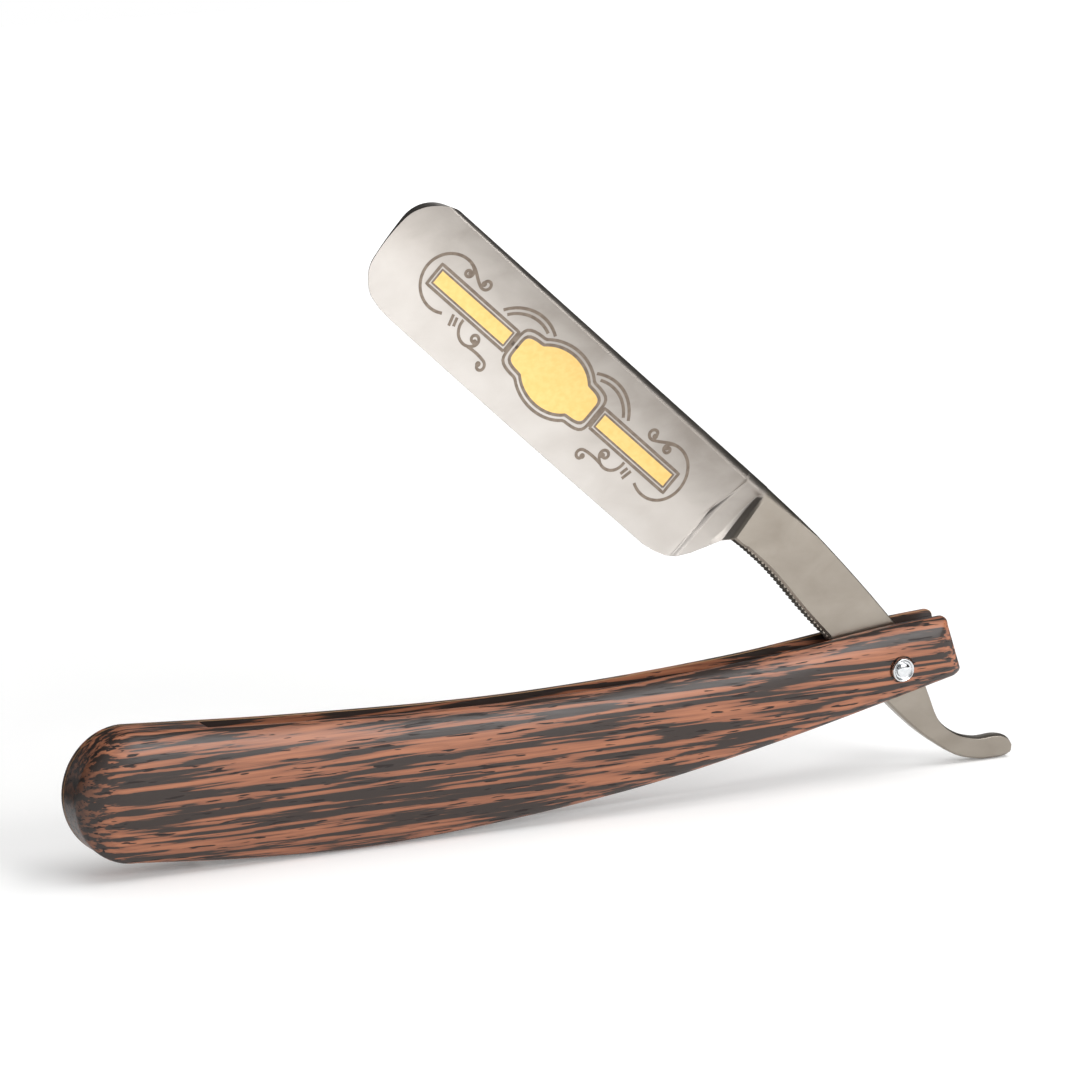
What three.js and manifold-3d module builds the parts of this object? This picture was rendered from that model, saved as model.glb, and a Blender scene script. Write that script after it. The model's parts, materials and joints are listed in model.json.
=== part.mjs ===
// Straight razor, opened part way and standing on its handle and its tail.
// Millimetres, +Z up, X along the handle (rounded end towards -X), Y across the handle.
// Everything is drawn round the pivot, then moved so that the origin is the bottom centre.
import * as THREE from 'three';
import { mergeVertices } from 'three/addons/utils/BufferGeometryUtils.js';
import Module from 'manifold-3d';

const wasm = await Module();
wasm.setup();

// ---------- driving dimensions ----------
const restOpening = 42.2; // degrees from the closed blade to the blade as it stands
const roundSides = 24; // sides of every turned piece and hole

const handle = {
  toeRoom: 2.6, // between the closed blade's toe and the wedge
  overhang: 9.4, // pivot to the top corner of the square end
  endSlant: 2.4, // how much farther out the bottom corner of the square end is
  endTop: 7.35, // heights above the pivot
  endBottom: -2.5,
  waistTop: 2.0, // lowest stretch of the top edge
  bellyBottom: -17.9, // lowest stretch of the bottom edge
  noseTop: 4.75, // top and bottom where the rounded end begins
  noseBottom: -15.6,
  noseLength: 9.6,
  cornerRadius: 1.3,
  scaleThickness: 3.5,
  pivotThinning: 0.5, // the scales are this much thinner at the pivot end
  edgeLand: 0.6, // straight strip along each scale's inner rim
  crownPower: 2.1, // 2 rounds the scales like an ellipse, more makes them flatter in the middle
  rimChamfer: 0.25,
  crestStop: 4, // the scale's crown begins this far in from the square end
};

const blade = {
  toeReach: 115.5, // pivot to the farthest point of the toe
  heelReach: 48.5, // pivot to the end of the straight edge
  shoulderReach: 37.2, // pivot to the start of the flat tang
  spineHeight: 8.15, // above the pivot, square to the spine
  edgeDepth: 11.6, // below the pivot
  edgeRise: 0.45, // the edge curves up this much towards the toe
  toeSpineRadius: 6.4,
  toeEdgeRadius: 5.2,
  toeBulge: 1.2,
  toeRun: 0.13, // share of the straight edge over which the toe's outline dies away
  spineThickness: 4.6,
  toeThickness: 4.2,
  edgeThickness: 0.16,
  toeCrown: 0.95, // height of the rounded back above the ground face
  heelCrown: 1.75,
  tangCrown: 0.35,
  crownRunOut: 12, // the rounded back fades over this much of the tang
  shoulderThickness: 3.6,
  pivotThickness: 2.5,
  tailThickness: 2.2,
  tailReach: 28.4,
  hollowPower: 4, // how fast the ground hollow thins the blade below the spine
};

const pin = { radius: 0.8, headOverhang: 0.35, headHeight: 0.45, runningClearance: 0.07 };
const collar = { radius: 1.95, height: 0.85, rimWidth: 0.4, dish: 0.28 };
const washer = { radius: 2.9, thickness: 0.4 };
const wedge = { length: 22, waist: 1.6 };
const fit = {
  side: 0.15, // tang to inner washer
  seat: 0.2, // between pieces that are pressed or glued together
  hole: 0.25, // shank to the pieces that it is driven through
  collarSink: 0.35, // how deep the collars are let into the scales
};

// ---------- finishes ----------
const finish = {
  steel: { color: 0xcfc8c1, roughness: 0.32, metalness: 1 },
  nickel: { color: 0xd8dadc, roughness: 0.18, metalness: 1 },
  brass: { color: 0xc9a456, roughness: 0.35, metalness: 1 },
  wenge: { color: 0x6a4636, roughness: 0.45, metalness: 0 },
};

// ---------- sizes that follow from others ----------
const washerFloor = blade.pivotThickness / 2 + fit.side;
const halfSlot = washerFloor + washer.thickness + fit.seat;
const wedgeReach = blade.toeReach + handle.toeRoom; // pivot to the wedge's inner end
const handleReach = wedgeReach + wedge.length; // pivot to the rounded end
const shankHole = pin.radius + fit.hole;
const clearCut = 20; // cutters reach this far past anything they cut

// ---------- helpers ----------
const lerp = THREE.MathUtils.lerp;

// A smooth height over x through a few [x, height] points, in rising x.
function heightOver(points) {
  const places = points.map(([x]) => x);
  const heights = points.map(([, z]) => z);
  const curve = new THREE.CubicInterpolant(places, heights, 1, new Float32Array(1));
  return (x) => curve.evaluate(x)[0];
}

// Triangles to a closed indexed geometry: shared corners merged, flat slivers dropped.
function closedGeometry(triangles) {
  const soup = new THREE.BufferGeometry();
  const numbers = triangles.flat().flatMap((p) => [p.x, p.y, p.z]);
  soup.setAttribute('position', new THREE.Float32BufferAttribute(numbers, 3));
  return dropSlivers(mergeVertices(soup, 1e-4));
}

function dropSlivers(geometry) {
  const index = Array.from(geometry.index.array);
  const kept = [];
  for (let i = 0; i < index.length; i += 3) {
    const [a, b, c] = index.slice(i, i + 3);
    if (a !== b && b !== c && c !== a) kept.push(a, b, c);
  }
  geometry.setIndex(kept);
  geometry.computeVertexNormals();
  return geometry;
}

const quad = (a, b, c, d) => [[a, b, c], [a, c, d]];

// Skin between rings of equal count; each ring runs the same way round.
function skin(rings) {
  const faces = [];
  for (let r = 0; r + 1 < rings.length; r += 1) {
    const count = rings[r].length;
    for (let i = 0; i < count; i += 1) {
      const j = (i + 1) % count;
      faces.push(...quad(rings[r][i], rings[r][j], rings[r + 1][j], rings[r + 1][i]));
    }
  }
  return faces;
}

function solidOf(geometry) {
  const bare = new THREE.BufferGeometry();
  bare.setAttribute('position', geometry.getAttribute('position').clone());
  if (geometry.index) bare.setIndex(geometry.index.clone());
  const merged = mergeVertices(bare, 1e-4);
  return new wasm.Manifold(new wasm.Mesh({
    numProp: 3,
    vertProperties: Float32Array.from(merged.getAttribute('position').array),
    triVerts: Uint32Array.from(merged.index.array),
  }));
}

function geometryOf(solid) {
  const mesh = solid.getMesh();
  const geometry = new THREE.BufferGeometry();
  geometry.setAttribute('position', new THREE.BufferAttribute(Float32Array.from(mesh.vertProperties), 3));
  geometry.setIndex(new THREE.BufferAttribute(Uint32Array.from(mesh.triVerts), 1));
  geometry.computeVertexNormals();
  return geometry;
}

function withHoles(geometry, tools) {
  let solid = solidOf(geometry);
  for (const tool of tools) solid = solid.subtract(solidOf(tool));
  return geometryOf(solid);
}

// A round cutter along Y between two heights.
function roundCutter(radius, from, to) {
  const cutter = new THREE.CylinderGeometry(radius, radius, to - from, roundSides);
  cutter.translate(0, (from + to) / 2, 0);
  return cutter;
}

function turned(profile) {
  return new THREE.LatheGeometry(profile.map(([r, y]) => new THREE.Vector2(r, y)), roundSides);
}

function named(name, geometry, look) {
  const mesh = new THREE.Mesh(geometry, new THREE.MeshStandardMaterial(look));
  mesh.name = name;
  return mesh;
}

// ---------- handle outline, seen from the side ----------
const noseCentre = -(handleReach - handle.noseLength);
const topEdge = heightOver([
  [noseCentre, handle.noseTop],
  [-0.74 * handleReach, handle.waistTop + 1.1],
  [-0.46 * handleReach, handle.waistTop],
  [-0.19 * handleReach, handle.waistTop + 1.75],
  [0, handle.endTop - 0.65],
  [handle.overhang, handle.endTop],
]);
const bottomEdge = heightOver([
  [noseCentre, handle.noseBottom],
  [-0.8 * handleReach, handle.bellyBottom + 0.7],
  [-0.64 * handleReach, handle.bellyBottom],
  [-0.35 * handleReach, handle.bellyBottom + 3.15],
  [-0.15 * handleReach, handle.bellyBottom + 8.0],
  [handle.overhang + handle.endSlant, handle.endBottom],
]);

// The rim, anticlockwise from the square end's top corner, each point with its place on the spine
// line that the scale's crown rises to.
function handleRim(noseSteps = 12, edgeSteps = 22) {
  const rim = [];
  const crest = (x) => new THREE.Vector2(x, (topEdge(x) + bottomEdge(x)) / 2);
  const endX = handle.overhang - handle.crestStop;
  const cornerTop = handle.overhang - handle.cornerRadius;
  for (let i = 0; i <= edgeSteps; i += 1) {
    const x = lerp(cornerTop, noseCentre, i / edgeSteps);
    rim.push({ at: new THREE.Vector2(x, topEdge(x)), crest: crest(Math.min(x, endX)) });
  }
  const noseMiddle = (handle.noseTop + handle.noseBottom) / 2;
  const noseHalf = (handle.noseTop - handle.noseBottom) / 2;
  for (let i = 1; i < noseSteps; i += 1) {
    const turn = (Math.PI * i) / noseSteps;
    const x = noseCentre - handle.noseLength * Math.sin(turn);
    const z = noseMiddle + noseHalf * Math.cos(turn);
    rim.push({ at: new THREE.Vector2(x, z), crest: crest(noseCentre) });
  }
  const cornerBottom = handle.overhang + handle.endSlant - handle.cornerRadius;
  for (let i = 0; i <= edgeSteps; i += 1) {
    const x = lerp(noseCentre, cornerBottom, i / edgeSteps);
    const matched = lerp(noseCentre, cornerTop, i / edgeSteps);
    rim.push({ at: new THREE.Vector2(x, bottomEdge(x)), crest: crest(Math.min(matched, endX)) });
  }
  for (const at of squareEnd(cornerBottom, cornerTop)) rim.push({ at, crest: crest(endX) });
  return rim;
}

// The slanted end face with its two rounded corners, from bottom to top.
function squareEnd(cornerBottom, cornerTop) {
  const lowHeight = bottomEdge(cornerBottom) + handle.cornerRadius;
  const low = new THREE.Vector2(handle.overhang + handle.endSlant, lowHeight);
  const high = new THREE.Vector2(handle.overhang, topEdge(cornerTop) - handle.cornerRadius);
  const lowCorner = new THREE.QuadraticBezierCurve(
    new THREE.Vector2(cornerBottom, bottomEdge(cornerBottom)),
    new THREE.Vector2(low.x, low.y - 0.6 * handle.cornerRadius),
    low,
  );
  const highCorner = new THREE.QuadraticBezierCurve(
    high,
    new THREE.Vector2(high.x - 0.1, topEdge(cornerTop)),
    new THREE.Vector2(cornerTop, topEdge(cornerTop)),
  );
  return [...lowCorner.getPoints(3).slice(1), ...highCorner.getPoints(3).slice(0, 3)];
}

// ---------- scales ----------
function scaleThicknessAt(x) {
  const towardsPivot = THREE.MathUtils.smoothstep(x, -0.5 * handleReach, 0);
  return handle.scaleThickness - handle.pivotThinning * towardsPivot;
}

// One scale; side is -1 for the front (towards -Y) and +1 for the rear.
function scaleGeometry(side) {
  const rim = handleRim();
  const ring = (share, inset, rise) => rim.map(({ at, crest }) => {
    const place = crest.clone().lerp(at, share);
    const inward = crest.clone().sub(at).normalize().multiplyScalar(inset);
    place.add(inward);
    return new THREE.Vector3(place.x, side * (halfSlot + rise(place.x)), place.y);
  });
  const crown = (share) => Math.sqrt(1 - share ** handle.crownPower);
  const shares = [1, 0.985, 0.94, 0.86, 0.74, 0.56, 0.3, 0];
  const rings = [
    ring(0, 0, () => 0),
    ring(1, handle.rimChamfer, () => 0),
    ring(1, 0, () => handle.rimChamfer),
    ...shares.map((share) => ring(share, 0, (x) => (
      handle.edgeLand + (scaleThicknessAt(x) - handle.edgeLand) * crown(share)
    ))),
  ];
  if (side > 0) rings.forEach((r) => r.reverse());
  const body = closedGeometry(skin(rings));
  const outer = halfSlot + scaleThicknessAt(0);
  const through = roundCutter(shankHole, -clearCut, clearCut);
  const seatEnds = [side * (outer - fit.collarSink), side * clearCut].sort((a, b) => a - b);
  const seat = roundCutter(collar.radius + fit.hole, ...seatEnds);
  return withHoles(body, [through, seat]);
}

// ---------- wedge between the scales at the rounded end ----------
function wedgeGeometry() {
  const inner = -wedgeReach;
  const inset = handle.rimChamfer;
  const shape = new THREE.Shape();
  const middle = (handle.noseTop + handle.noseBottom) / 2;
  const half = (handle.noseTop - handle.noseBottom) / 2 - inset;
  shape.moveTo(inner, topEdge(inner) - inset);
  shape.quadraticCurveTo(inner - wedge.waist, middle, inner, bottomEdge(inner) + inset);
  shape.lineTo(noseCentre, middle - half);
  shape.absellipse(noseCentre, middle, handle.noseLength - inset, half, 1.5 * Math.PI, 0.5 * Math.PI, true);
  shape.closePath();
  const thickness = 2 * (halfSlot - fit.seat);
  const options = { depth: thickness, bevelEnabled: false, curveSegments: 14 };
  const geometry = new THREE.ExtrudeGeometry(shape, options);
  geometry.rotateX(Math.PI / 2);
  geometry.translate(0, thickness / 2, 0);
  return geometry;
}

// ---------- pivot ----------
const pivotOuter = halfSlot + scaleThicknessAt(0);
const collarFloor = pivotOuter - fit.collarSink + fit.seat;
const dishFloor = collarFloor + collar.height - collar.dish;

// A dished ring with a rounded rim, drawn with its seat at y = 0.
function collarGeometry() {
  const hole = shankHole;
  const { radius, height, rimWidth, dish } = collar;
  return turned([
    [hole, 0], [radius, 0], [radius, height - 0.35], [radius - 0.08, height - 0.12],
    [radius - rimWidth / 2, height], [radius - rimWidth, height - 0.1],
    [radius - rimWidth - 0.12, height - dish], [hole, height - dish], [hole, 0],
  ]);
}

function pinGeometry() {
  const seat = dishFloor + fit.seat / 2;
  const top = seat + pin.headHeight;
  const headRadius = pin.radius + pin.headOverhang;
  const half = [[pin.radius, seat], [headRadius, seat], [headRadius, seat + 0.12],
    [headRadius * 0.8, top - 0.1], [headRadius * 0.45, top - 0.02], [0, top]];
  const lower = half.map(([r, y]) => [r, -y]).reverse();
  return turned([...lower, ...half]);
}

function innerWasherGeometry() {
  const { radius, thickness } = washer;
  return turned([[shankHole, 0], [radius, 0], [radius, thickness], [shankHole, thickness], [shankHole, 0]]);
}

// ---------- blade: one forging from toe to tail ----------
// A rib is one cut across the blade: top and bottom as [reach, height], half thickness, the height
// of the rounded back, and how flat its faces are (0 hollow ground, 1 flat).
const facePlaces = [0.035, 0.08, 0.16, 0.28, 0.42, 0.57, 0.72, 0.84, 0.93, 1];

function ribRing({ top, bottom, half, crown, flat, toe = 0 }) {
  const width = Math.hypot(top[0] - bottom[0], top[1] - bottom[1]);
  const edgeHalf = lerp(blade.edgeThickness / 2, half, flat);
  const lowCrown = blade.tangCrown * flat;
  const point = (depth, y) => {
    const share = depth / width;
    const reach = lerp(top[0], bottom[0], share) - toe * toeSetback(depth, width);
    return new THREE.Vector3(-reach, y, lerp(top[1], bottom[1], share));
  };
  const profile = [1, 2, 3].map((k) => {
    const turn = (k * Math.PI) / 6;
    return [crown * (1 - Math.cos(turn)), half * Math.sin(turn)];
  });
  for (const x of facePlaces) {
    const hollow = blade.edgeThickness / 2 + (half - blade.edgeThickness / 2) * (1 - x) ** blade.hollowPower;
    profile.push([crown + (width - crown - lowCrown) * x, lerp(hollow, half, flat)]);
  }
  profile.push([width, edgeHalf - lowCrown * 0.9]);
  const front = profile.map(([depth, y]) => point(depth, -y));
  const back = profile.map(([depth, y]) => point(depth, y)).reverse();
  return [point(0, 0), ...front, ...back];
}

// How far the toe's outline stands back from its farthest point, at a depth below the spine.
function toeSetback(depth, width) {
  const round = (distance, radius) => {
    const inside = Math.max(0, radius - distance);
    return radius - Math.sqrt(radius ** 2 - inside ** 2);
  };
  const bow = blade.toeBulge * ((2 * depth) / width - 1) ** 2;
  return round(depth, blade.toeSpineRadius) + round(width - depth, blade.toeEdgeRadius) + bow;
}

function bladeRibs() {
  const { toeReach, heelReach, shoulderReach, spineHeight, edgeDepth, edgeRise } = blade;
  const ribs = [];
  const straight = toeReach - heelReach;
  for (const share of [0, 0.01, 0.03, 0.065, 0.1, blade.toeRun]) {
    ribs.push({ share, toe: 1 - share / blade.toeRun });
  }
  for (let share = 0.2; share < 0.99; share += 0.1) ribs.push({ share, toe: 0 });
  const ground = ribs.map(({ share, toe }) => ({
    top: [toeReach - straight * share, spineHeight],
    bottom: [toeReach - straight * share, -edgeDepth + edgeRise * (1 - share) ** 3],
    half: lerp(blade.toeThickness, blade.spineThickness, share) / 2,
    crown: lerp(blade.toeCrown, blade.heelCrown, share),
    flat: 0,
    toe,
  }));
  return [...ground, ...heelRibs(heelReach, shoulderReach), ...tangRibs(shoulderReach)];
}

// The heel sweeps up to the tang in two steps, the double shoulder.
function heelRibs(heelReach, shoulderReach) {
  const span = heelReach - shoulderReach;
  const rib = (topShare, bottomShare, bottomHeight, half, flat) => ({
    top: [heelReach - span * topShare, blade.spineHeight],
    bottom: [heelReach - span * bottomShare, bottomHeight],
    half,
    crown: blade.heelCrown,
    flat,
  });
  const spineHalf = blade.spineThickness / 2;
  const shoulderHalf = blade.shoulderThickness / 2;
  const low = -blade.edgeDepth;
  return [
    rib(0.02, 0, low, spineHalf, 0),
    rib(0.28, 0.2, low + 0.35, spineHalf, 0),
    rib(0.48, 0.38, low + 0.95, spineHalf, 0),
    rib(0.56, 0.44, low + 1.35, spineHalf, 0.02),
    rib(0.62, 0.52, low + 2.0, shoulderHalf + 0.1, 0.3),
    rib(0.76, 0.68, low + 4.0, shoulderHalf + 0.05, 0.34),
    rib(0.88, 0.84, low + 6.7, shoulderHalf, 0.38),
    rib(0.93, 0.93, low + 8.5, shoulderHalf, 0.42),
  ];
}

// Flat tang, pivot eye and the tail that curls up behind it.
function tangRibs(shoulderReach, steps = 36) {
  const tail = blade.tailReach;
  const top = new THREE.SplineCurve([
    [shoulderReach, blade.spineHeight - 0.05], [28, 7.85], [18, 7.1], [8, 6.05], [0, 4.8],
    [-0.183 * tail, 2.6], [-0.335 * tail, 0.45], [-0.486 * tail, -1.45], [-0.634 * tail, -1.18],
    [-0.759 * tail, 0.47], [-0.851 * tail, 2.9], [-0.916 * tail, 3.85], [-0.966 * tail, 3.6],
  ].map(([x, z]) => new THREE.Vector2(x, z)));
  const bottom = new THREE.SplineCurve([
    [shoulderReach - 0.4, -1.7], [28, -1.75], [18, -3.0], [8, -3.85], [-0.5, -4.65],
    [-0.218 * tail, -5.1], [-0.405 * tail, -5.15], [-0.563 * tail, -4.75], [-0.722 * tail, -3.9],
    [-0.849 * tail, -2.05], [-0.933 * tail, -0.15], [-0.982 * tail, 1.3], [-tail, 2.3],
  ].map(([x, z]) => new THREE.Vector2(x, z)));
  const ribs = [];
  for (let i = 0; i <= steps; i += 1) {
    const upper = top.getPoint(i / steps);
    const lower = bottom.getPoint(i / steps);
    ribs.push({
      top: upper.toArray(),
      bottom: lower.toArray(),
      half: tangThicknessAt(upper.x, shoulderReach) / 2,
      crown: blade.tangCrown + crownFade(upper.x, shoulderReach),
      flat: 1,
    });
  }
  return ribs;
}

function tangThicknessAt(reach, shoulderReach) {
  if (reach > 0) return lerp(blade.pivotThickness, blade.shoulderThickness, reach / shoulderReach);
  return lerp(blade.pivotThickness, blade.tailThickness, -reach / blade.tailReach);
}

// The rounded back of the spine runs out along the first stretch of the tang.
function crownFade(reach, shoulderReach) {
  const runOut = THREE.MathUtils.clamp(1 - (shoulderReach - reach) / blade.crownRunOut, 0, 1);
  return (blade.heelCrown - blade.tangCrown) * runOut;
}

// Closes a rib ring: its front and back points face each other across the blade.
function ribCap(ring, outwards) {
  const faces = [[ring[0], ring[1], ring[ring.length - 1]]];
  for (let i = 1; i < (ring.length - 1) / 2; i += 1) {
    faces.push(...quad(ring[i], ring[i + 1], ring[ring.length - 1 - i], ring[ring.length - i]));
  }
  return outwards ? faces : faces.map(([a, b, c]) => [a, c, b]);
}

function bladeGeometry() {
  const rings = bladeRibs().map(ribRing);
  const faces = skin(rings);
  faces.push(...ribCap(rings[0], false), ...ribCap(rings[rings.length - 1], true));
  const body = closedGeometry(faces);
  return withHoles(body, [roundCutter(pin.radius + pin.runningClearance, -clearCut, clearCut)]);
}

// ---------- assembly ----------
function assemble() {
  const razor = new THREE.Group();
  const handleGroup = new THREE.Group();
  const bladeGroup = new THREE.Group();
  bladeGroup.rotation.y = THREE.MathUtils.degToRad(restOpening);

  const pieces = [
    ['front_scale', scaleGeometry(-1), finish.wenge],
    ['rear_scale', scaleGeometry(1), finish.wenge],
    ['wedge', wedgeGeometry(), finish.wenge],
    ['pivot_pin', pinGeometry(), finish.nickel],
  ];
  for (const [name, geometry, look] of pieces) handleGroup.add(named(name, geometry, look));
  for (const [end, turn] of [['front', Math.PI], ['rear', 0]]) {
    const ring = named(`${end}_collar`, collarGeometry().translate(0, collarFloor, 0), finish.nickel);
    const inner = named(`${end}_washer`, innerWasherGeometry().translate(0, washerFloor, 0), finish.brass);
    ring.rotation.x = turn;
    inner.rotation.x = turn;
    handleGroup.add(ring, inner);
  }
  bladeGroup.add(named('blade', bladeGeometry(), finish.steel));
  razor.add(handleGroup, bladeGroup);

  razor.updateMatrixWorld(true);
  const box = new THREE.Box3().setFromObject(razor, true);
  const middle = box.getCenter(new THREE.Vector3());
  razor.position.set(-middle.x, -middle.y, -box.min.z);
  return razor;
}

export default assemble();
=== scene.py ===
# Straight razor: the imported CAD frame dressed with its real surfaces.
import json
import math

import bmesh
import bpy
import numpy as np
from mathutils import Matrix, Vector


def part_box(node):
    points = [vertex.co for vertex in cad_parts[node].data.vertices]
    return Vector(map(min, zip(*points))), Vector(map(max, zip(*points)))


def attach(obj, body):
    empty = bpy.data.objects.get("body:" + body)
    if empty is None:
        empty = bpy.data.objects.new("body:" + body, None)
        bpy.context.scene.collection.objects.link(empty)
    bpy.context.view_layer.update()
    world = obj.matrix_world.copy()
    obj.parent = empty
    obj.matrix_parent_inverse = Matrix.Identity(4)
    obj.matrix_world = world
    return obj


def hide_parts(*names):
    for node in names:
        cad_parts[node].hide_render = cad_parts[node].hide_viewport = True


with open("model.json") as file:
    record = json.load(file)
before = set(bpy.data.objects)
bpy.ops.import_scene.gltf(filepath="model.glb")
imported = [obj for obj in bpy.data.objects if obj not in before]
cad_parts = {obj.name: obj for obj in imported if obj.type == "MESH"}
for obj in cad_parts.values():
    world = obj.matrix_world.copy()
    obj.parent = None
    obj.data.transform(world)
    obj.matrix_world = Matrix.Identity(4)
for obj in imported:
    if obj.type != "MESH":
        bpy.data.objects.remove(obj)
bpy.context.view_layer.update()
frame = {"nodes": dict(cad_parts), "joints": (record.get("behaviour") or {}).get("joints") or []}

MM = 0.001
PIVOT = Vector(frame["joints"][0]["pos_m"])

# ---------- sizes, in millimetres ----------
OPENING = math.radians(42.2)  # between the closed blade and the blade as it stands

TOE_REACH, HEEL_REACH, SHOULDER_REACH, TAIL_REACH = 115.5, 48.5, 37.2, 28.4
SPINE_HEIGHT, EDGE_DEPTH, EDGE_RISE = 8.15, 11.6, 0.45
TOE_SPINE_RADIUS, TOE_EDGE_RADIUS, TOE_BULGE = 6.4, 5.2, 1.2
TOE_RUN = 0.13  # share of the blade over which the toe's outline dies away
TOE_THICKNESS, SPINE_THICKNESS, EDGE_THICKNESS = 4.2, 4.6, 0.16
SHOULDER_THICKNESS, PIVOT_THICKNESS, TAIL_THICKNESS = 3.6, 2.5, 2.2
TOE_CROWN, HEEL_CROWN, TANG_CROWN, CROWN_RUN_OUT = 0.95, 1.75, 0.35, 12
HOLLOW_POWER = 4
BELLY_HEIGHT, BELLY_SHARE = 0.035, 0.74  # faint swell across the hollow, as a share of its width

GROOVE_DEPTH, GROOVE_WIDTH, FACET_DEPTH = 0.16, 0.22, 0.50  # the shoulder's two steps

JIMP_START, JIMP_END, JIMP_PITCH, JIMP_DEPTH = 34.4, 11.5, 0.84, 0.24
JIMP_RADIUS, JIMP_TUCK, JIMP_RUN_IN = 0.26, 0.7, 0.3

TOE_ROOM, WEDGE_LENGTH = 2.6, 22
HANDLE_REACH = TOE_REACH + TOE_ROOM + WEDGE_LENGTH
OVERHANG, END_SLANT, END_TOP, END_BOTTOM = 9.4, 2.4, 7.35, -2.5
WAIST_TOP, BELLY_BOTTOM = 2.0, -17.9
NOSE_TOP, NOSE_BOTTOM, NOSE_LENGTH = 4.75, -15.6, 9.6
CORNER_RADIUS, CREST_STOP, RIM_CHAMFER, EDGE_LAND = 1.3, 4, 0.12, 0.6
CROWN_POWER = 2.1
SCALE_THICKNESS, PIVOT_THINNING, HALF_SLOT = 3.5, 0.5, 2.0
NOSE_SOAK_AND_SHADE = 6.5  # how far the nose is darkened: the oil darkens the end grain, and painted shade stands in for the shade on the rounded nose
PAST_THE_HANDLE = 20

PIN_RADIUS, PIN_HEAD_RADIUS, PIN_HEAD_HEIGHT = 0.8, 1.15, 0.45
COLLAR_RADIUS, COLLAR_HEIGHT, COLLAR_RIM, COLLAR_DISH = 1.95, 0.85, 0.4, 0.28
COLLAR_SINK, SEAT_GAP, SHANK_GAP = 0.35, 0.2, 0.25

STROKE, FINE_STROKE = 0.5, 0.32
STROKE_DEPTH, RULE_DEPTH = 0.05, 0.07
BANNER_MIDDLE, BANNER_HEIGHT = 78.5, -1.6
BANNER_START, BANNER_HALF, BANNER_HALF_WIDTH = 9.9, 27.2, 1.9  # where an arm begins and ends
GILT_INSET, EYE_RADIUS = 0.62, 0.46


# ---------- placing and meshes ----------
def on_blade(reach, y, height):
    """Blade measures (from the pivot, along and square to the spine) to metres in the frame."""
    x = -reach * math.cos(OPENING) + height * math.sin(OPENING)
    z = reach * math.sin(OPENING) + height * math.cos(OPENING)
    return np.stack([x, y + 0 * x, z], -1) * MM + np.array(PIVOT)


def on_handle(x, y, z):
    return np.stack([x, y + 0 * x, z], -1) * MM + np.array(PIVOT)


def placed(name, mesh):
    """The mesh as an object of the scene."""
    piece = bpy.data.objects.new(name, mesh)
    bpy.context.scene.collection.objects.link(piece)
    return piece


def shell(name, rings, material, node=None, sharp=35, caps=False):
    """A skin over rings of equal count; with a CAD node given, it is kept inside that node's box."""
    rings = np.array(rings, float)
    if node:
        low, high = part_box(node)
        rings = np.clip(rings, np.array(low), np.array(high))
    rows, count = rings.shape[:2]
    faces = [
        (r * count + i, r * count + (i + 1) % count, (r + 1) * count + (i + 1) % count, (r + 1) * count + i)
        for r in range(rows - 1)
        for i in range(count)
    ]
    if caps:
        for start in (0, (rows - 1) * count):
            faces.append((start, start + 1, start + count - 1))
            for i in range(1, (count - 1) // 2):
                faces.append((start + i, start + i + 1, start + count - 1 - i, start + count - i))
    mesh = bpy.data.meshes.new(name)
    mesh.from_pydata(rings.reshape(-1, 3).tolist(), [], faces)
    piece = placed(name, mesh)
    close(mesh)
    dress(piece, material, sharp)
    return piece


def close(mesh):
    """Merges doubled corners, drops what collapsed and turns every face outwards."""
    skin = bmesh.new()
    skin.from_mesh(mesh)
    bmesh.ops.remove_doubles(skin, verts=skin.verts, dist=2e-6)
    bmesh.ops.dissolve_degenerate(skin, edges=skin.edges, dist=1e-7)
    bmesh.ops.recalc_face_normals(skin, faces=skin.faces)
    skin.to_mesh(mesh)
    skin.free()


def dress(piece, material, sharp=35):
    piece.data.materials.clear()
    piece.data.materials.append(material)
    piece.data.shade_smooth()
    piece.data.set_sharp_from_angle(angle=math.radians(sharp))


def settle(piece):
    """Turns what the modifiers make into the piece's own plain mesh."""
    ready = piece.evaluated_get(bpy.context.evaluated_depsgraph_get())
    mesh = bpy.data.meshes.new_from_object(ready)
    piece.modifiers.clear()
    piece.data = mesh
    return piece


# ---------- nodes ----------
def srgb(code):
    """sRGB hex to linear red, green, blue and alpha."""
    parts = [int(code[i : i + 2], 16) / 255 for i in (1, 3, 5)]
    return [c / 12.92 if c <= 0.04045 else ((c + 0.055) / 1.055) ** 2.4 for c in parts] + [1.0]


def add(tree, kind, sockets=None, stops=(), **settings):
    """Adds a node, sets it, and fills each socket with a value or with another node's output.
    Stops are a colour ramp's places and hex colours."""
    node = tree.nodes.new(kind)
    for i, (place, code) in enumerate(stops):
        stop = node.color_ramp.elements[i] if i < 2 else node.color_ramp.elements.new(place)
        stop.position, stop.color = place, srgb(code)
    for key, value in settings.items():
        setattr(node, key, value)
    for key, value in (sockets or {}).items():
        if isinstance(value, bpy.types.NodeSocket):
            tree.links.new(value, node.inputs[key])
        else:
            node.inputs[key].default_value = value
    return node


def new_material(name):
    material = bpy.data.materials.new(name)
    material.use_nodes = True
    tree = material.node_tree
    return material, tree, tree.nodes["Principled BSDF"]


def grain(tree, coords, across, along, detail=3, turn=(0, 0, 0), distortion=0.0):
    """Noise whose features are `across` mm wide and `along` mm long, the long way on X after the turn."""
    size = (1000 / along, 1000 / across, 1000 / across)
    place = add(tree, "ShaderNodeMapping", {0: coords, "Rotation": turn, "Scale": size})
    return add(
        tree,
        "ShaderNodeTexNoise",
        {0: place.outputs[0], "Scale": 1.0, "Detail": detail, "Distortion": distortion},
    ).outputs[0]


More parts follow.
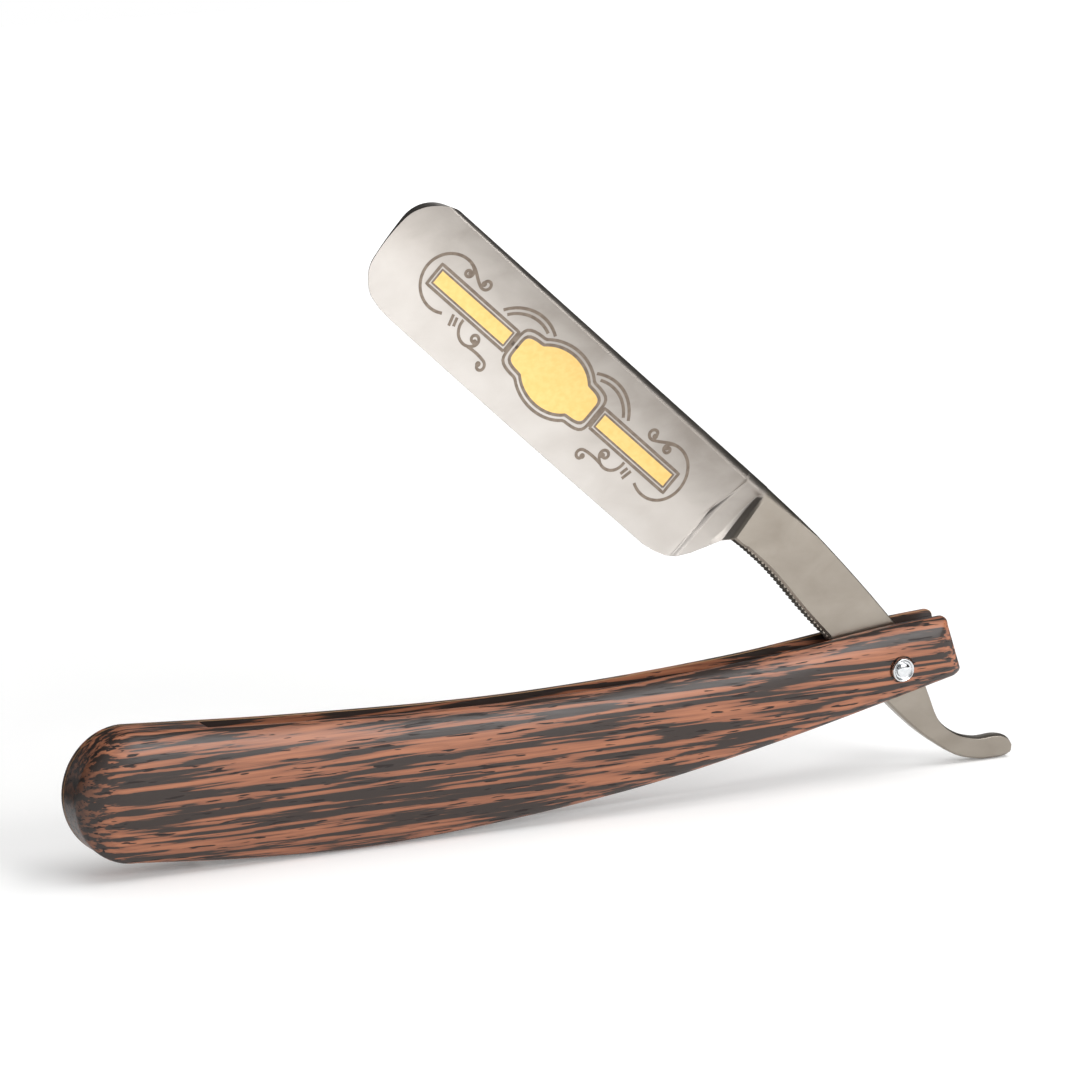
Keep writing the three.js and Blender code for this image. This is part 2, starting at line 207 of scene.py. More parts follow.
# ---------- finishes ----------
def wenge_wood():
    """Wenge, shaped, sanded and oiled: near-black and red-brown layers, open pores, a satin sheen."""
    material, tree, shader = new_material("wenge_oiled")
    coords = add(tree, "ShaderNodeTexCoord").outputs["Object"]
    lean = (0, math.radians(-5), 0)
    layers = grain(tree, coords, 0.85, 26, 3, lean, 0.25)
    fibres = grain(tree, coords, 0.20, 5.0, 4, lean)
    feathered = add(tree, "ShaderNodeMath", {0: fibres, 1: 0.15, 2: layers}, operation="MULTIPLY_ADD")
    layer_stops = [(0.535, "#2b1f19"), (0.74, "#a5694a"), (0.56, "#3a2920"), (0.59, "#85523a")]
    tone = add(tree, "ShaderNodeValToRGB", {0: feathered.outputs[0]}, stops=layer_stops).outputs[0]
    # pores are about 0.1 mm wide in the wood and are drawn at 0.4 mm, so that they show
    pores = grain(tree, coords, 0.40, 4.5, 1, lean)
    open_pore = add(tree, "ShaderNodeMapRange", {0: pores, 1: 0.64, 2: 0.68, 3: 0, 4: 1}).outputs[0]
    pitted = {0: open_pore, 6: tone, 7: srgb("#1d0f0b")}
    dark = add(tree, "ShaderNodeMix", pitted, data_type="RGBA").outputs[2]
    place = add(tree, "ShaderNodeSeparateXYZ", {0: coords})
    # the nose is painted nearly black: partly the end grain, which drinks more oil, and partly painted shade
    # where the rounded nose turns away from the light
    nose = PIVOT.x - (HANDLE_REACH + 0.5) * MM
    nose_soak_and_shade_range = {0: place.outputs[0], 1: nose, 2: nose + NOSE_SOAK_AND_SHADE * MM, 3: 0.85, 4: 0.0}
    nose_soak_and_shade = add(tree, "ShaderNodeMapRange", nose_soak_and_shade_range, interpolation_type="SMOOTHSTEP").outputs[0]
    oiled = add(tree, "ShaderNodeMix", {0: nose_soak_and_shade, 6: dark, 7: srgb("#1a100b")}, data_type="RGBA").outputs[2]
    # the slot's rim is rubbed through to paler wood
    inner = add(tree, "ShaderNodeMath", {0: place.outputs[1]}, operation="ABSOLUTE").outputs[0]
    edge = {0: inner, 1: (HALF_SLOT + RIM_CHAMFER / 2) * MM, 2: (RIM_CHAMFER / 2 - 0.01) * MM}
    rubbed = add(tree, "ShaderNodeMath", edge, operation="COMPARE").outputs[0]
    sawn = add(tree, "ShaderNodeMix", {0: rubbed, 6: oiled, 7: srgb("#8f6a42")}, data_type="RGBA")
    tree.links.new(sawn.outputs[2], shader.inputs["Base Color"])
    rough = add(tree, "ShaderNodeMapRange", {0: fibres, 1: 0.3, 2: 0.7, 3: 0.36, 4: 0.50}).outputs[0]
    rougher = add(tree, "ShaderNodeMath", {0: open_pore, 1: 0.3, 2: rough}, operation="MULTIPLY_ADD")
    tree.links.new(rougher.outputs[0], shader.inputs["Roughness"])
    pits = add(tree, "ShaderNodeMath", {0: open_pore, 1: -1.0, 2: fibres}, operation="MULTIPLY_ADD")
    bump = add(tree, "ShaderNodeBump", {"Strength": 0.35, "Distance": 0.00006, "Height": pits.outputs[0]})
    tree.links.new(bump.outputs[0], shader.inputs["Normal"])
    shader.inputs["IOR"].default_value = 1.47
    shader.inputs["Coat Weight"].default_value = 0.18
    shader.inputs["Coat Roughness"].default_value = 0.28
    return material


def ground_steel():
    """Carbon steel, hollow ground and satin polished: pale warm grey, fine cross lines, a soft mottle, and a
    painted reflection, lighter at the edge and the toe.
    """
    material, tree, shader = new_material("steel_satin_ground")
    coords = add(tree, "ShaderNodeTexCoord").outputs["Object"]
    across = (0, OPENING - math.pi / 2, 0)
    # wheel marks are about 0.02 mm apart and are drawn at 0.12 mm, so that they show
    marks = grain(tree, coords, 0.12, 5, 2, across)
    mottle = grain(tree, coords, 5, 8, 4, across, 0.4)
    along, up = (-math.cos(OPENING), 0, math.sin(OPENING)), (math.sin(OPENING), 0, math.cos(OPENING))
    reach = add(tree, "ShaderNodeVectorMath", {0: coords, 1: along}, operation="DOT_PRODUCT").outputs["Value"]
    height = add(tree, "ShaderNodeVectorMath", {0: coords, 1: up}, operation="DOT_PRODUCT").outputs["Value"]
    zero_reach, zero_height = PIVOT.dot(Vector(along)), PIVOT.dot(Vector(up))
    # painted reflection: the hollow is painted lighter towards the edge and the toe and darker towards the
    # spine and the heel
    low, high = zero_height - EDGE_DEPTH * MM, zero_height + SPINE_HEIGHT * MM
    painted_dark_to_spine = add(tree, "ShaderNodeMapRange", {0: height, 1: low, 2: high, 3: 0.0, 4: 0.62}).outputs[0]
    toe, heel = zero_reach + TOE_REACH * MM, zero_reach + HEEL_REACH * MM
    painted_dark_to_heel = add(tree, "ShaderNodeMapRange", {0: reach, 1: toe, 2: heel, 3: -0.02, 4: 0.12}).outputs[0]
    level = add(tree, "ShaderNodeMath", {0: painted_dark_to_spine, 1: painted_dark_to_heel}, operation="ADD").outputs[0]
    mottle_and_painted_reflection = add(tree, "ShaderNodeMath", {0: mottle, 1: 0.5, 2: level}, operation="MULTIPLY_ADD").outputs[0]
    painted_reflection_tones = [(0.30, "#c4bfba"), (1.0, "#98918a"), (0.62, "#b8b2ac")]
    bright = add(tree, "ShaderNodeValToRGB", {0: mottle_and_painted_reflection}, stops=painted_reflection_tones).outputs[0]
    # the tang and the tail are only linished, so they are duller and greyer
    greys = [(0.3, "#90887e"), (0.7, "#9f978d")]
    linished = add(tree, "ShaderNodeValToRGB", {0: mottle}, stops=greys).outputs[0]
    step = zero_reach + SHOULDER_REACH * MM
    on_tang = add(tree, "ShaderNodeMapRange", {0: reach, 1: step, 2: step + 0.4 * MM, 3: 1, 4: 0}).outputs[0]
    tone = add(tree, "ShaderNodeMix", {0: on_tang, 6: bright, 7: linished}, data_type="RGBA").outputs[2]
    tree.links.new(tone, shader.inputs["Base Color"])
    rough = add(tree, "ShaderNodeMapRange", {0: mottle, 1: 0.3, 2: 0.7, 3: 0.25, 4: 0.34}).outputs[0]
    streaked = add(tree, "ShaderNodeMath", {0: marks, 1: 0.10, 2: rough}, operation="MULTIPLY_ADD")
    tree.links.new(streaked.outputs[0], shader.inputs["Roughness"])
    bump = add(tree, "ShaderNodeBump", {"Strength": 0.10, "Distance": 0.00001, "Height": marks})
    tree.links.new(bump.outputs[0], shader.inputs["Normal"])
    shader.inputs["Metallic"].default_value = 1.0
    return material


def plated_metal(name, low, high, rough_low, rough_high):
    """A turned metal with a fine tarnish: name, its darker and lighter tone and how dull it is."""
    material, tree, shader = new_material(name)
    coords = add(tree, "ShaderNodeTexCoord").outputs["Object"]
    tarnish = grain(tree, coords, 0.7, 0.9, 4)
    tone = add(tree, "ShaderNodeValToRGB", {0: tarnish}, stops=[(0.35, low), (0.65, high)])
    tree.links.new(tone.outputs[0], shader.inputs["Base Color"])
    dull = add(tree, "ShaderNodeMapRange", {0: tarnish, 1: 0.3, 2: 0.7, 3: rough_low, 4: rough_high})
    tree.links.new(dull.outputs[0], shader.inputs["Roughness"])
    shader.inputs["Metallic"].default_value = 1.0
    return material


WENGE = wenge_wood()
STEEL = ground_steel()
# nickel silver, turned and polished: cold and bright
NICKEL = plated_metal("nickel_silver_polished", "#cfd2d4", "#e4e6e8", 0.12, 0.22)
# brass, turned and dulled by handling
BRASS = plated_metal("brass_dulled", "#b08c42", "#cfae63", 0.32, 0.46)
# etched steel, darkened by the acid: brown-grey and matt
ETCH = plated_metal("steel_etched", "#796d63", "#8f8377", 0.50, 0.62)
# gold wash in the etched ground: soft yellow, finely matt
GILT = plated_metal("gold_wash", "#e6bf78", "#ebc884", 0.42, 0.50)


# ---------- blade ----------
def mix(a, b, share):
    return a + (b - a) * share


def catmull(points, share):
    """A smooth curve through the points."""
    points = np.array(points, float)
    place = share * (len(points) - 1)
    i = min(int(place), len(points) - 2)
    t = place - i
    p0, p1, p2 = points[max(i - 1, 0)], points[i], points[i + 1]
    p3 = points[min(i + 2, len(points) - 1)]
    v0, v1 = (p2 - p0) / 2, (p3 - p1) / 2
    return (2 * p1 - 2 * p2 + v0 + v1) * t**3 + (-3 * p1 + 3 * p2 - 2 * v0 - v1) * t**2 + v0 * t + p1


def toe_setback(depth, width):
    def rounding(distance, radius):
        inside = np.clip(radius - distance, 0, radius)
        return radius - np.sqrt(radius**2 - inside**2)

    bow = TOE_BULGE * (2 * depth / width - 1) ** 2
    return rounding(depth, TOE_SPINE_RADIUS) + rounding(width - depth, TOE_EDGE_RADIUS) + bow


def shoulder_relief(reach, height):
    """How far the face stands back at the two shoulder steps; each step is a line of heights and reaches."""
    first = np.interp(height, [-6.5, -4.4, 3.7, 6.1], [43.9, 43.7, 41.9, 41.5])
    second = np.interp(height, [-3.65, -1.4, 6.0], [39.3, 38.7, 38.0])
    tang = np.interp(height, [-1.4, 5.4], [37.2, 37.4])
    groove = GROOVE_DEPTH * np.exp(-(((reach - first) / GROOVE_WIDTH) ** 2))
    ramp_up = np.clip((reach - tang) / (second - tang), 0, 1)
    fade = np.clip((first - reach) / (first - second), 0, 1)
    return (groove + FACET_DEPTH * ramp_up * fade) * np.clip((6.6 - height) / 0.8, 0, 1)


def rib(top, bottom, half, crown, flat, toe=0.0, relief=False):
    """One ring of points round the blade, from the middle of the spine round its front and back."""
    top, bottom = np.array(top, float), np.array(bottom, float)
    width = np.hypot(*(top - bottom))
    low_crown = TANG_CROWN * flat
    edge_half = mix(EDGE_THICKNESS / 2, half, flat)
    turns = np.linspace(0, math.pi / 2, 11)[1:]
    share = np.linspace(0, 1, 41)[1:] ** 1.25
    hollow = EDGE_THICKNESS / 2 + (half - EDGE_THICKNESS / 2) * (1 - share) ** HOLLOW_POWER
    swell = BELLY_HEIGHT * np.exp(-(((share - BELLY_SHARE) / 0.07) ** 2)) * (1 - flat)
    depth = np.concatenate([
        crown * (1 - np.cos(turns)),
        crown + (width - crown - low_crown) * share,
        [width],
    ])
    y = np.concatenate([half * np.sin(turns), mix(hollow, half, flat) + swell, [edge_half - low_crown * 0.9]])
    along = depth / width
    reach = mix(top[0], bottom[0], along) - toe * toe_setback(depth, width)
    height = mix(top[1], bottom[1], along)
    if relief:
        y = np.maximum(y - shoulder_relief(reach, height), np.minimum(y, 0.2))
    front = on_blade(reach, -y, height)
    back = on_blade(reach, y, height)[::-1]
    start = on_blade(np.array([top[0] - toe * toe_setback(0.0, width)]), 0.0, np.array([top[1]]))
    return np.concatenate([start, front, back])


def ground_ribs():
    """The hollow-ground part, from the toe to the heel's curve."""
    straight = TOE_REACH - HEEL_REACH
    rounded = TOE_RUN * np.linspace(0, 1, 26) ** 1.5
    for share in [*rounded, *np.linspace(TOE_RUN + 0.015, 0.995, 60)]:
        reach = TOE_REACH - straight * share
        yield rib(
            (reach, SPINE_HEIGHT),
            (reach, -EDGE_DEPTH + EDGE_RISE * (1 - share) ** 3),
            mix(TOE_THICKNESS, SPINE_THICKNESS, share) / 2,
            mix(TOE_CROWN, HEEL_CROWN, share),
            0,
            toe=1 - min(share / TOE_RUN, 1),
        )


def shoulder_ribs():
    """The heel sweeps up to the tang in two steps, the double shoulder."""
    span = HEEL_REACH - SHOULDER_REACH
    spine_half, shoulder_half = SPINE_THICKNESS / 2, SHOULDER_THICKNESS / 2
    # each row: share at the top, share at the bottom, height above the edge, half thickness, flatness
    rows = np.array([
        (0.02, 0, 0, spine_half, 0),
        (0.28, 0.2, 0.35, spine_half, 0),
        (0.48, 0.38, 0.95, spine_half, 0),
        (0.56, 0.44, 1.35, spine_half, 0.02),
        (0.62, 0.52, 2.0, shoulder_half + 0.1, 0.3),
        (0.76, 0.68, 4.0, shoulder_half + 0.05, 0.34),
        (0.88, 0.84, 6.7, shoulder_half, 0.38),
        (0.93, 0.93, 8.5, shoulder_half, 0.42),
        (1.0, 1.035, EDGE_DEPTH - 1.7, shoulder_half, 1.0),
    ])
    for place in np.linspace(0, len(rows) - 1, 105)[:-1]:
        first = int(place)
        row = mix(rows[first], rows[first + 1], place - first)
        top = (HEEL_REACH - span * row[0], SPINE_HEIGHT)
        bottom = (HEEL_REACH - span * row[1], -EDGE_DEPTH + row[2])
        yield rib(top, bottom, row[3], HEEL_CROWN, row[4], relief=True)


TAIL = -TAIL_REACH
TANG_TOP = [
    (SHOULDER_REACH, SPINE_HEIGHT - 0.05), (28, 7.85), (18, 7.1), (8, 6.05), (0, 4.8),
    (0.183 * TAIL, 2.6), (0.335 * TAIL, 0.45), (0.486 * TAIL, -1.45), (0.634 * TAIL, -1.18),
    (0.759 * TAIL, 0.47), (0.851 * TAIL, 2.9), (0.916 * TAIL, 3.85), (0.966 * TAIL, 3.6),
]
TANG_BOTTOM = [
    (SHOULDER_REACH - 0.4, -1.7), (28, -1.75), (18, -3.0), (8, -3.85), (-0.5, -4.65),
    (0.218 * TAIL, -5.1), (0.405 * TAIL, -5.15), (0.563 * TAIL, -4.75), (0.722 * TAIL, -3.9),
    (0.849 * TAIL, -2.05), (0.933 * TAIL, -0.15), (0.982 * TAIL, 1.3), (TAIL, 2.3),
]


def tang_thickness(reach):
    if reach > 0:
        return mix(PIVOT_THICKNESS, SHOULDER_THICKNESS, reach / SHOULDER_REACH)
    return mix(PIVOT_THICKNESS, TAIL_THICKNESS, -reach / TAIL_REACH)


def tang_ribs():
    """Flat tang, pivot eye and the tail that curls up behind it."""
    for share in np.linspace(0, 1, 150):
        top, bottom = catmull(TANG_TOP, share), catmull(TANG_BOTTOM, share)
        run_out = np.clip(1 - (SHOULDER_REACH - top[0]) / CROWN_RUN_OUT, 0, 1)
        past_start = np.clip((JIMP_START + JIMP_RUN_IN - bottom[0]) / JIMP_RUN_IN, 0, 1)
        before_end = np.clip((bottom[0] - JIMP_END) / JIMP_RUN_IN, 0, 1)
        bottom[1] += JIMP_DEPTH * past_start * before_end
        crown = TANG_CROWN + (HEEL_CROWN - TANG_CROWN) * run_out
        yield rib(top, bottom, tang_thickness(top[0]) / 2, crown, 1, relief=True)


def make_blade():
    rings = [*ground_ribs(), *shoulder_ribs(), *tang_ribs()]
    blade = shell("blade_forging", rings, STEEL, "blade", sharp=28, caps=True)
    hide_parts("blade")
    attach(blade, "blade_body")
    return blade


# ---------- geometry node trees ----------
def group_of(name, sizes):
    """An empty tree with its named sizes, a geometry in and a geometry out."""
    tree = bpy.data.node_groups.new(name, "GeometryNodeTree")
    tree.interface.new_socket("Geometry", in_out="INPUT", socket_type="NodeSocketGeometry")
    tree.interface.new_socket("Geometry", in_out="OUTPUT", socket_type="NodeSocketGeometry")
    for label, kind in sizes:
        tree.interface.new_socket(label, in_out="INPUT", socket_type="NodeSocket" + kind)
    return tree, add(tree, "NodeGroupInput").outputs


def end_with(tree, geometry):
    """Realizes, names the finish, and closes the tree."""
    plain = add(tree, "GeometryNodeRealizeInstances", {0: geometry})
    finish = tree.nodes.new("GeometryNodeSetMaterial")
    tree.links.new(plain.outputs[0], finish.inputs["Geometry"])
    tree.links.new(tree.nodes["Group Input"].outputs["Finish"], finish.inputs["Material"])
    add(tree, "NodeGroupOutput", {0: finish.outputs[0]})


def apply_tree(piece, tree, values):
    """Puts the tree on the piece with its sizes, then keeps the result as a plain mesh."""
    modifier = piece.modifiers.new(tree.name, "NODES")
    modifier.node_group = tree
    for item in tree.interface.items_tree:
        if item.in_out == "INPUT" and item.name in values:
            modifier[item.identifier] = values[item.name]
    return settle(piece)


def notch_tree():
    """Sets small rounded bars at an even pitch along a path, wider towards its start."""
    tree, sizes = group_of("jimps", [
        ("Pitch", "Float"), ("Bar radius", "Float"), ("Width at shoulder", "Float"),
        ("Width at handle", "Float"), ("Finish", "Material"),
    ])
    path = add(tree, "GeometryNodeMeshToCurve", {0: sizes["Geometry"]})
    kept = add(tree, "GeometryNodeCaptureAttribute", {0: path.outputs[0]})
    kept.capture_items.new("FLOAT", "share")
    tree.links.new(add(tree, "GeometryNodeSplineParameter").outputs["Factor"], kept.inputs[1])
    points = add(tree, "GeometryNodeCurveToPoints", mode="LENGTH")
    tree.links.new(kept.outputs[0], points.inputs["Curve"])
    tree.links.new(sizes["Pitch"], points.inputs["Length"])
    width = add(tree, "ShaderNodeMapRange", {
        0: kept.outputs[1], 3: sizes["Width at shoulder"], 4: sizes["Width at handle"],
    }).outputs[0]
    bar = add(tree, "GeometryNodeMeshCylinder", {
        "Vertices": 10, "Radius": sizes["Bar radius"], "Depth": 1.0,
    })
    lying = add(tree, "GeometryNodeTransform", {0: bar.outputs[0], "Rotation": (math.pi / 2, 0, 0)})
    stretch = add(tree, "ShaderNodeCombineXYZ", {0: 1.0, 1: width, 2: 1.0})
    bars = add(tree, "GeometryNodeInstanceOnPoints", {
        0: points.outputs[0], "Instance": lying.outputs[0], "Scale": stretch.outputs[0],
    })
    end_with(tree, bars.outputs[0])
    return tree


def make_jimps():
    """The grip notches: a row of bars under the tang, whose underside is cut back along them."""
    underside = [catmull(TANG_BOTTOM, share) for share in np.linspace(0, 0.4, 200)]
    stretch = [p for p in underside if JIMP_END < p[0] < JIMP_START]
    reach = np.array([p[0] for p in stretch])
    height = np.array([p[1] for p in stretch]) + JIMP_RADIUS
    mesh = bpy.data.meshes.new("jimps")
    mesh.from_pydata(on_blade(reach, 0.0, height).tolist(), [(i, i + 1) for i in range(len(reach) - 1)], [])
    jimps = placed("tang_jimps", mesh)
    apply_tree(jimps, notch_tree(), {
        "Pitch": JIMP_PITCH * MM,
        "Bar radius": JIMP_RADIUS * MM,
        "Width at shoulder": (tang_thickness(JIMP_START) - JIMP_TUCK) * MM,
        "Width at handle": (tang_thickness(JIMP_END) - JIMP_TUCK) * MM,
        "Finish": STEEL,
    })
    close(jimps.data)
    dress(jimps, STEEL, 40)
    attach(jimps, "blade_body")


def lay_on(tree, sizes, geometry):
    """Turns flat work into the blade's plane and lays it on the blade's front face."""
    flat = add(tree, "GeometryNodeInputPosition").outputs[0]
    rise = add(tree, "ShaderNodeSeparateXYZ", {0: flat}).outputs[2]
    kept = add(tree, "GeometryNodeCaptureAttribute", {0: geometry})
    kept.capture_items.new("FLOAT", "rise")
    tree.links.new(rise, kept.inputs[1])
    lean = add(tree, "GeometryNodeTransform", {
        0: kept.outputs[0], "Translation": sizes["Pivot"], "Rotation": sizes["Turn"],
    })
    metal = add(tree, "GeometryNodeObjectInfo", {0: sizes["Blade"]}).outputs["Geometry"]
    ray = add(tree, "GeometryNodeRaycast", {
        "Target Geometry": metal, "Ray Direction": (0, 1, 0), "Ray Length": 0.05,
    })
    tree.links.new(add(tree, "GeometryNodeInputPosition").outputs[0], ray.inputs["Source Position"])
    lifted = add(tree, "ShaderNodeVectorMath", {
        0: ray.outputs["Hit Normal"], "Scale": kept.outputs[1],
    }, operation="SCALE")
    place = add(tree, "ShaderNodeVectorMath", {
        0: ray.outputs["Hit Position"], 1: lifted.outputs[0],
    }, operation="ADD")
    laid = add(tree, "GeometryNodeSetPosition", {
        0: lean.outputs[0], "Selection": ray.outputs["Is Hit"], "Position": place.outputs[0],
    })
    end_with(tree, laid.outputs[0])


LAYING = [("Pivot", "Vector"), ("Turn", "Vector"), ("Blade", "Object"), ("Finish", "Material")]


def stroke_tree():
    """Sweeps an even flat stroke along drawn lines and lays it on the blade."""
    tree, sizes = group_of("etched_strokes", [("Stroke", "Float"), ("Depth", "Float"), *LAYING])
    lines = add(tree, "GeometryNodeMeshToCurve", {0: sizes["Geometry"]})
    level = add(tree, "GeometryNodeSetCurveNormal", {0: lines.outputs[0]}, mode="Z_UP")
    section = add(tree, "GeometryNodeCurvePrimitiveQuadrilateral", {
        "Width": sizes["Stroke"], "Height": sizes["Depth"],
    })
    swept = add(tree, "GeometryNodeCurveToMesh", {
        0: level.outputs[0], 1: section.outputs[0], "Fill Caps": True,
    })
    lay_on(tree, sizes, swept.outputs[0])
    return tree


def fill_tree():
    """Lays thin flat plates on the blade."""
    tree, sizes = group_of("laid_plates", LAYING)
    lay_on(tree, sizes, sizes["Geometry"])
    return tree


# ---------- etched scroll and gilt banner, a plain pattern without letters ----------
def arc(middle, radius, start, end, steps=36):
    """Points along an arc, in degrees from along the blade towards its spine."""
    turn = np.radians(np.linspace(start, end, steps))
    return np.stack([middle[0] + radius * np.cos(turn), middle[1] + radius * np.sin(turn)], -1)


def scroll(start, heading, bends, step=0.12):
    """A line from a point; each of its bends is (length, degrees per mm at its start and at its end)."""
    points, place, facing = [np.array(start, float)], np.array(start, float), math.radians(heading)
    for length, first, last in bends:
        count = max(2, round(length / step))
        for k in range(count):
            facing += math.radians(mix(first, last, (k + 0.5) / count)) * length / count
            place = place + np.array([math.cos(facing), math.sin(facing)]) * length / count
            points.append(place)
    return np.array(points)


def sweep(points, steps=48):
    """A smooth line through a few points."""
    return np.array([catmull(points, s) for s in np.linspace(0, 1, steps)])


def frame_line(left, right, low, high):
    """A closed rectangle with enough points to follow the hollow."""
    corners = [(left, low), (right, low), (right, high), (left, high), (left, low)]
    sides = [np.linspace(a, b, 40)[:-1] for a, b in zip(corners, corners[1:])]
    return np.concatenate([*sides, sides[0][:1]])


def medallion(grow, steps=120):
    """An oval over a longer, lower plaque with rounded corners, grown all round."""
    turn = np.linspace(0, 2 * math.pi, steps, endpoint=False)

    def oval(a, b):
        return 1 / np.hypot(np.cos(turn) / (a + grow), np.sin(turn) / (b + grow))

    across, up = np.abs(np.cos(turn)) / (8.3 + grow), np.abs(np.sin(turn)) / (2.7 + grow)
    plaque = 1 / (across**6 + up**6) ** (1 / 6)
    radius = np.maximum(oval(6.3, 4.6), plaque)
    return np.stack([BANNER_MIDDLE + radius * np.cos(turn), BANNER_HEIGHT + radius * np.sin(turn)], -1)


def mirrored(lines):
    """Each line and its twin on the other side of the banner's middle."""
    for line in lines:
        yield line
        yield line * np.array([-1, 1]) + np.array([2 * BANNER_MIDDLE, 0])


def scrolls():
    """The curls beside one arm; each ends in a round eye."""
    m, h = BANNER_MIDDLE, BANNER_HEIGHT
    ring_radius = 4.65
    ring_turn = math.degrees(1 / ring_radius)
    ring = scroll((m + 22.1, h - 3.75), -30, [(19.4, ring_turn, ring_turn), (2.6, 6, -14), (3.9, -48, -112)])
    inside = scroll((m + 23.6, h + 4.86), 190, [(1.6, 16, 44), (3.4, 62, 150)])
    under = scroll((m + 18.5, h - 2.35), -84, [(6.3, -20, -29), (4.0, -50, -120)])
    last = scroll((m + 15.2, h - 5.0), 172, [(3.6, 4, 6), (3.3, 44, 120)])
    return [ring, inside, under, last]


def ornament_lines():
    """Strokes of the pattern, as lines in the blade's plane."""
    m, h = BANNER_MIDDLE, BANNER_HEIGHT
    half = [
        frame_line(m + BANNER_START, m + BANNER_HALF, h - BANNER_HALF_WIDTH, h + BANNER_HALF_WIDTH),
        *scrolls(),
        arc((m + 8.4, h - 1.2), 7.2, 34, 120),  # double arcs over the shoulders
        arc((m + 8.4, h - 1.2), 6.3, 38, 112),
        sweep([(m + 20.4, h - 2.7), (m + 19.9, h - 4.5)], 8),  # tick marks
        sweep([(m + 19.6, h - 2.7), (m + 19.2, h - 4.1)], 8),
    ]
    rings = [np.concatenate([medallion(grow), medallion(grow)[:1]]) for grow in (0.25, 1.1)]
    return [*mirrored(half), *rings]


def ornament_eyes():
    """The places of the round eyes, at the curls' ends."""
    ends = [line[-1:] for line in scrolls()]
    return [end[0] for end in mirrored(ends)]


def plate(rows, thickness=0.03):
    """A thin closed plate over a grid of points in the blade's plane, rows by columns."""
    rows = np.array(rows, float)
    high = np.concatenate([rows, np.full((*rows.shape[:2], 1), thickness * 0.45)], -1)
    low = np.concatenate([rows, np.full((*rows.shape[:2], 1), -thickness)], -1)
    count, width = rows.shape[:2]
    points = np.concatenate([high.reshape(-1, 3), low.reshape(-1, 3)])
    at = np.arange(count * width).reshape(count, width)
    faces = []
    for r in range(count - 1):
        for c in range(width - 1):
            faces.append([at[r, c], at[r, c + 1], at[r + 1, c + 1], at[r + 1, c]])
            under = (at[r, c], at[r + 1, c], at[r + 1, c + 1], at[r, c + 1])
            faces.append([k + count * width for k in under])
    rim = [*at[0, :-1], *at[:-1, -1], *at[-1, :0:-1], *at[:0:-1, 0]]
    for a, b in zip(rim, [*rim[1:], rim[0]]):
        faces.append([a, b, b + count * width, a + count * width])
    return points, [[int(k) for k in face] for face in faces]


def grid(left, right, low, high, columns=34, lines=8):
    return [[(x, y) for x in np.linspace(left, right, columns)] for y in np.linspace(low, high, lines)]


def disc(outline, lines=14):
    """A plate's grid that spans an outline of even count, from one half of it to the other."""
    half = len(outline) // 2
    near = outline[: half + 1]
    far = np.concatenate([outline[half:], outline[:1]])[::-1]
    return [mix(near[1:-1], far[1:-1], k) for k in np.linspace(0, 1, lines)]


def flat_piece(name, points, faces=(), edges=()):
    mesh = bpy.data.meshes.new(name)
    mesh.from_pydata((np.array(points) * MM).tolist(), list(edges), list(faces))
    return placed(name, mesh)


def line_piece(name, lines):
    """Drawn lines in the blade's plane, as edges."""
    points, edges = [], []
    for line in lines:
        first = len(points)
        points += [(x, y, 0) for x, y in line]
        edges += [(k, k + 1) for k in range(first, len(points) - 1)]
    return flat_piece(name, points, edges=edges)


def lay(piece, tree, blade, finish, **sizes):
    """Lays flat work on the blade by the tree, and books it as etched or gilt steel that rides with it."""
    c, s = math.cos(OPENING), math.sin(OPENING)
    turn = Matrix(((-c, s, 0), (0, 0, 1), (s, c, 0)))
    start = PIVOT + Vector((0, -0.02, 0))
    values = {"Pivot": tuple(start), "Turn": tuple(turn.to_euler()), "Blade": blade, "Finish": finish}
    apply_tree(piece, tree, {**values, **sizes})
    close(piece.data)
    dress(piece, finish, 40)
    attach(piece, "blade_body")


def join_parts(parts):
    """Several plates' points and faces as one."""
    points, faces, total = [], [], 0
    for some, sides in parts:
        points.append(some)
        faces += [[k + total for k in side] for side in sides]
        total += len(some)
    return np.concatenate(points), faces


def make_ornament(blade):
    strokes, fills = stroke_tree(), fill_tree()
    etched = line_piece("etched_scroll", ornament_lines())
    lay(etched, strokes, blade, ETCH, Stroke=STROKE * MM, Depth=STROKE_DEPTH * MM)
    eyes = [plate(disc(arc(eye, EYE_RADIUS, 0, 345, 24), 6)) for eye in ornament_eyes()]
    lay(flat_piece("etched_eyes", *join_parts(eyes)), fills, blade, ETCH)
    m, h = BANNER_MIDDLE, BANNER_HEIGHT
    near, far = BANNER_START + GILT_INSET, BANNER_HALF - GILT_INSET
    low, high = h - BANNER_HALF_WIDTH + GILT_INSET, h + BANNER_HALF_WIDTH - GILT_INSET
    right, left = (m + near, m + far, low, high), (m - far, m - near, low, high)
    gilt = [plate(grid(*right)), plate(grid(*left)), plate(disc(medallion(0.0)))]
    lay(flat_piece("gilt_banner", *join_parts(gilt)), fills, blade, GILT)
    rule = line_piece("etched_rule", [frame_line(*right), frame_line(*left)])
    lay(rule, strokes, blade, ETCH, Stroke=FINE_STROKE * MM, Depth=RULE_DEPTH * MM)


